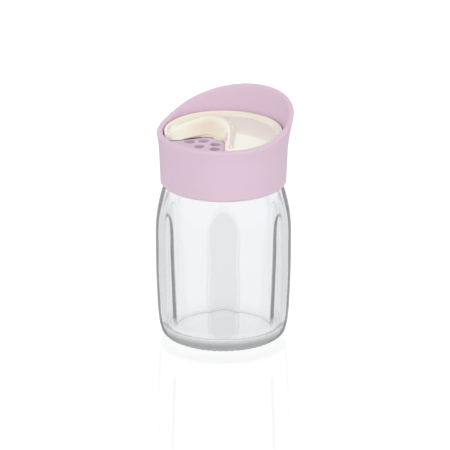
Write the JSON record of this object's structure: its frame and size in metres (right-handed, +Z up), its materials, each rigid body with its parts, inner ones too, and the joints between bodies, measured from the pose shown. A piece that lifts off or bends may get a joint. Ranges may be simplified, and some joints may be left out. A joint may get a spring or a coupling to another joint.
{
  "type": "spice shaker",
  "caption": "Clear glass spice jar with arched side panels, closed by a screw cap with a swept collar, a sieve deck and a turning selector dial.",
  "frame": {"origin": "middle of the jar's foot, on the surface it stands on", "axes": "+Z up along the jar's axis, +X to the right and -Y towards the viewer in the picture; the cap's lip points between -X and -Y"},
  "size_m": [0.0672, 0.0668, 0.1182],
  "materials": {
    "clear_glass": "clear pressed glass",
    "cap_plastic": "satin moulded polypropylene",
    "dial_plastic": "glossy moulded polypropylene",
    "seal_rubber": "soft translucent seal"
  },
  "bodies": {
    "jar": {"glass_jar": "clear_glass"},
    "seal": {"seal_ring": "seal_rubber"},
    "cap": {"sieve_cap": "cap_plastic"},
    "dial": {"selector_dial": "dial_plastic"}
  },
  "joints": [
    {"name": "cap_lift", "type": "slide", "parent": "jar", "child": "seal", "axis": [0, 0, 1], "range_m": [0, 0.0221]},
    {"name": "cap_turn", "type": "hinge", "parent": "seal", "child": "cap", "pos_m": [0, 0, 0.0915], "axis": [0, 0, 1], "range_deg": [0, 660]},
    {"name": "dial_turn", "type": "hinge", "parent": "cap", "child": "dial", "pos_m": [0, 0, 0.101], "axis": [0, 0, 1], "continuous": true}
  ],
  "couplings": [
    {"joint": "cap_lift", "follows": "cap_turn", "m_per_rad": 0.0019099}
  ]
}
